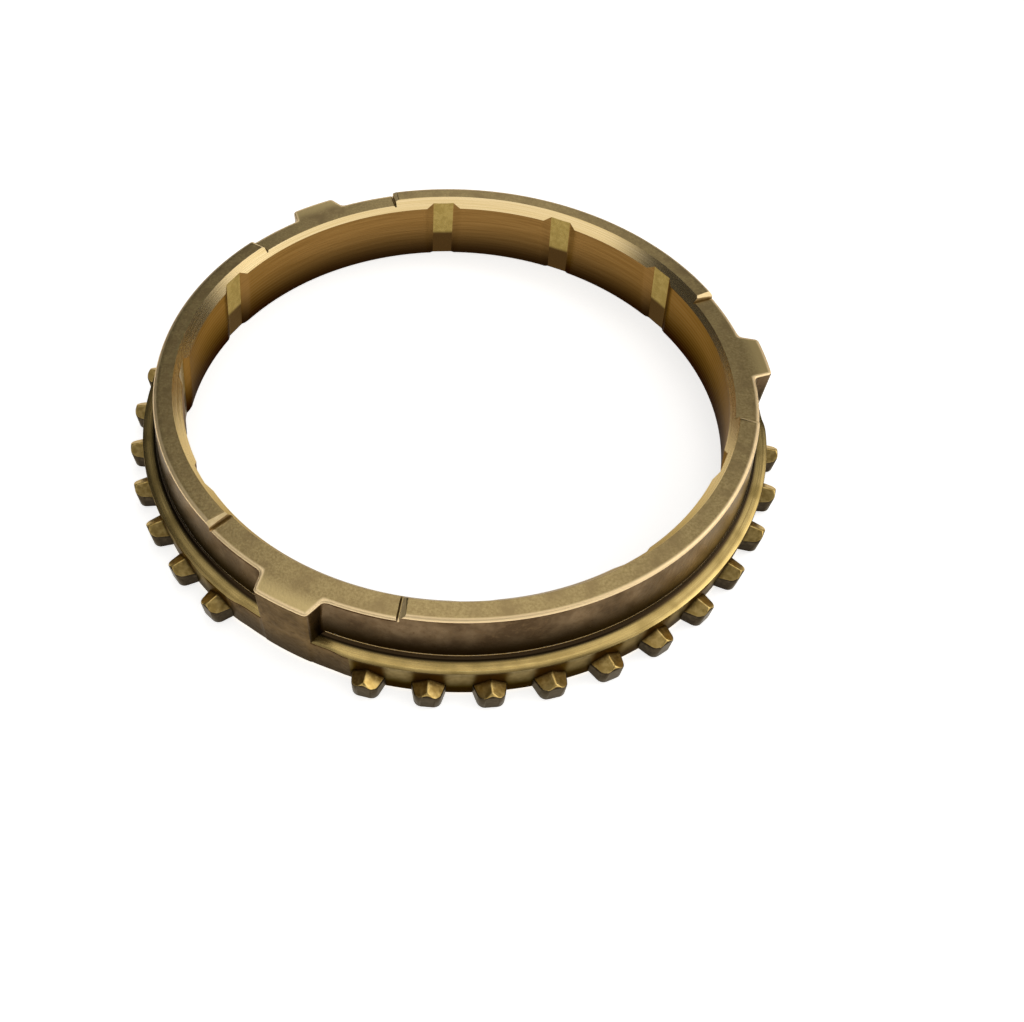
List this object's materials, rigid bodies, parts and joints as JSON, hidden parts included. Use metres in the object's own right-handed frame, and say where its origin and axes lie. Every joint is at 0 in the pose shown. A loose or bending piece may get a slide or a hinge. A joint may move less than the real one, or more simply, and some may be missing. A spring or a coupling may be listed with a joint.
{
  "type": "synchronizer ring",
  "caption": "Brass blocker ring with external spline teeth, index lugs, lowered seats beside the lugs and an internal friction cone with axial oil grooves.",
  "frame": {"origin": "on the ring's axis, in the plane of the gear-side face, which is the underside", "axes": "+Z along the ring's axis from the gear side to the hub side; +X through the middle of one index lug"},
  "size_m": [0.0829, 0.084, 0.0106],
  "materials": {
    "brass": "forged brass with a sand-blasted top and wall, machined ledge and teeth, and a satin turned cone"
  },
  "bodies": {
    "root": {"synchronizer_ring": "brass"}
  },
  "joints": []
}
